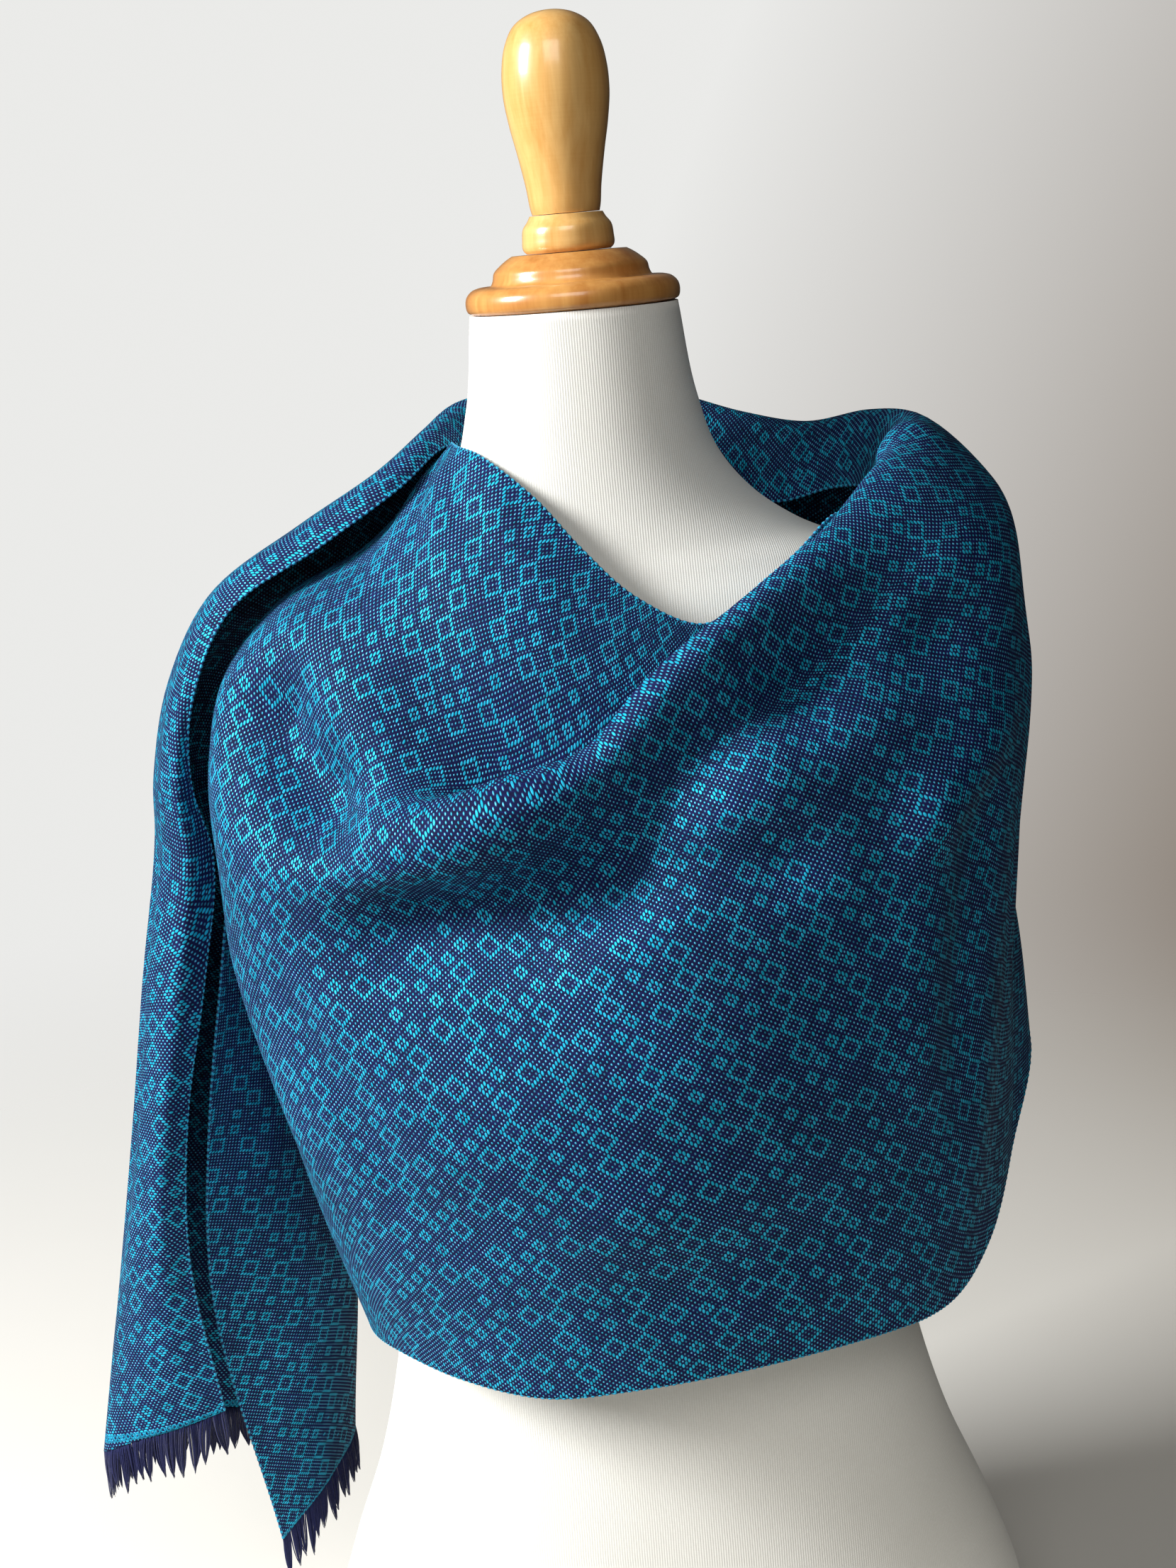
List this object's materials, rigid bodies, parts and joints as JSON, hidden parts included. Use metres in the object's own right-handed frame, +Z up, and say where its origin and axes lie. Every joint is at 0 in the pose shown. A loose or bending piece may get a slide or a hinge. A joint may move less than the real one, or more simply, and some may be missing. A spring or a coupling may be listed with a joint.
{
  "type": "stole on dress form",
  "caption": "Fringed handwoven stole wound round a limbless dress form, with a cowl fold at the front and an end hanging at the side.",
  "frame": {"origin": "centre of the dress form's flat underside", "axes": "+Z up along the form's upright axis, the form faces -Y, +X is the wearer's left"},
  "size_m": [0.5386, 0.3206, 0.919],
  "materials": {
    "cloth": "handwoven navy and turquoise in small stepped diamonds, matt with a slight sheen",
    "fringe": "navy yarn, softly twisted",
    "jersey": "cream ribbed jersey",
    "wood": "honey varnished, glossy"
  },
  "bodies": {
    "root": {"stole_upper_front": "cloth", "stole_front": "cloth", "stole_left_shoulder": "cloth", "stole_back": "cloth", "stole_right_shoulder": "cloth", "stole_tail": "cloth", "stole_fringe": "fringe", "form_body": "jersey", "form_cap": "wood", "form_collar": "wood", "form_handle": "wood"}
  },
  "joints": []
}
